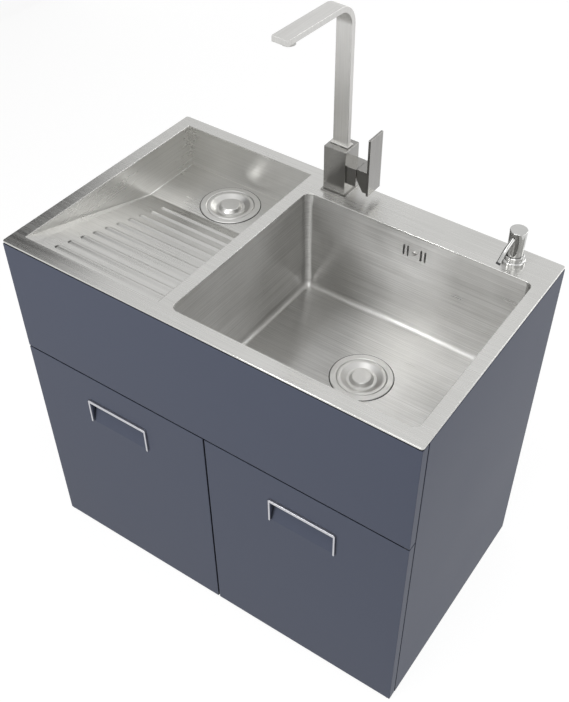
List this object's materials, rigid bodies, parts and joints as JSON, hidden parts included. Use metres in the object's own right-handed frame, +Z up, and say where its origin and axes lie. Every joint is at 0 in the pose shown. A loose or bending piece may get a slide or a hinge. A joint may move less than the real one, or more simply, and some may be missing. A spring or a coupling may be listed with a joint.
{
  "type": "utility sink cabinet",
  "caption": "Floor-standing sink cabinet with a deep steel bowl, a ribbed washboard tray, a square swivel faucet, a soap pump and hinged doors with routed pulls.",
  "frame": {"origin": "on the floor, under the middle of the bounding box", "axes": "+X to the right seen from the front, +Y to the back, +Z up; the doors face -Y"},
  "size_m": [0.8, 0.484, 1.082],
  "materials": {
    "brushed_sink_steel": "brushed",
    "polished_drain_steel": "fine brushed",
    "brushed_nickel": "brushed",
    "dispenser_chrome": "polished",
    "slate_board": "satin lacquer",
    "carcass_board": "matt melamine",
    "silver_trim": "satin anodised",
    "black_rubber": "matt",
    "black_plastic": "matt",
    "white_plastic": "satin",
    "bottle_plastic": "satin",
    "valve_brass": "machined",
    "hardware_steel": "zinc plated",
    "bush_plastic": "matt"
  },
  "bodies": {
    "carcass": {"sink_deck": "brushed_sink_steel", "main_bowl": "brushed_sink_steel", "washboard_tray": "brushed_sink_steel", "main_strainer_body": "polished_drain_steel", "tray_strainer_body": "polished_drain_steel", "overflow_screw": "polished_drain_steel", "faucet_base_plate": "brushed_nickel", "faucet_body": "brushed_nickel", "dispenser_collar": "dispenser_chrome", "front_fascia": "slate_board", "left_side_panel": "slate_board", "right_side_panel": "slate_board", "bottom_panel": "carcass_board", "back_panel": "carcass_board", "wall_rail": "carcass_board", "deck_seal": "black_rubber", "main_strainer_gasket": "black_rubber", "tray_strainer_gasket": "black_rubber", "faucet_washer": "black_rubber", "dispenser_washer": "black_rubber", "door_bumpers": "black_rubber", "glides": "black_plastic", "overflow_box": "white_plastic", "overflow_pipe": "white_plastic", "main_strainer_nut": "white_plastic", "tray_strainer_nut": "white_plastic", "main_tail_pipe": "white_plastic", "tray_tail_pipe": "white_plastic", "slip_nuts": "white_plastic", "drain_junction": "white_plastic", "trap_body": "white_plastic", "trap_cup": "white_plastic", "outlet_pipe": "white_plastic", "dispenser_nut": "white_plastic", "pump_barrel": "white_plastic", "dispenser_bottle": "bottle_plastic", "faucet_nut": "valve_brass", "valve_cartridge": "valve_brass", "pump_spring": "hardware_steel", "fascia_brackets": "hardware_steel", "fascia_screws": "hardware_steel", "left_hinge_plates": "hardware_steel", "right_hinge_plates": "hardware_steel"},
    "left_door": {"left_door": "slate_board", "left_pull_trim": "silver_trim", "left_door_bushes": "bush_plastic"},
    "right_door": {"right_door": "slate_board", "right_pull_trim": "silver_trim", "right_door_bushes": "bush_plastic"},
    "spout": {"spout": "brushed_nickel", "aerator": "white_plastic"},
    "lever_stem": {"lever_stem": "hardware_steel"},
    "lever": {"lever": "brushed_nickel", "lever_pin": "hardware_steel"},
    "pump_stem": {"pump_stem": "hardware_steel"},
    "dispenser_head": {"dispenser_head": "dispenser_chrome"},
    "main_basket": {"main_strainer_basket": "polished_drain_steel", "main_drain_cover": "polished_drain_steel"},
    "tray_basket": {"tray_strainer_basket": "polished_drain_steel", "tray_drain_cover": "polished_drain_steel"}
  },
  "joints": [
    {"name": "left_door_swing", "type": "hinge", "parent": "carcass", "child": "left_door", "pos_m": [-0.3935, -0.2315, 0.249], "axis": [0, 0, -1], "range_deg": [0, 110]},
    {"name": "right_door_swing", "type": "hinge", "parent": "carcass", "child": "right_door", "pos_m": [0.3935, -0.2315, 0.249], "axis": [0, 0, 1], "range_deg": [0, 110]},
    {"name": "spout_swivel", "type": "hinge", "parent": "carcass", "child": "spout", "pos_m": [-0.027, 0.213, 0.821], "axis": [0, 0, 1], "range_deg": [-90, 90]},
    {"name": "lever_turn", "type": "hinge", "parent": "carcass", "child": "lever_stem", "pos_m": [0.015, 0.213, 0.776], "axis": [1, 0, 0], "range_deg": [0, 90]},
    {"name": "lever_tilt", "type": "hinge", "parent": "lever_stem", "child": "lever", "pos_m": [0.023, 0.213, 0.776], "axis": [0, 1, 0], "range_deg": [0, 25]},
    {"name": "pump_press", "type": "slide", "parent": "carcass", "child": "pump_stem", "axis": [0, 0, -1], "range_m": [0, 0.012], "stiffness_N_per_m": 500, "springref_m": -0.01, "deforming": ["pump_spring"]},
    {"name": "head_swivel", "type": "hinge", "parent": "pump_stem", "child": "dispenser_head", "pos_m": [0.321, 0.205, 0.745], "axis": [0, 0, 1], "range_deg": [-90, 90]},
    {"name": "main_basket_lift", "type": "slide", "parent": "carcass", "child": "main_basket", "axis": [0, 0, 1], "range_m": [0, 0.3]},
    {"name": "tray_basket_lift", "type": "slide", "parent": "carcass", "child": "tray_basket", "axis": [0, 0, 1], "range_m": [0, 0.3]}
  ]
}
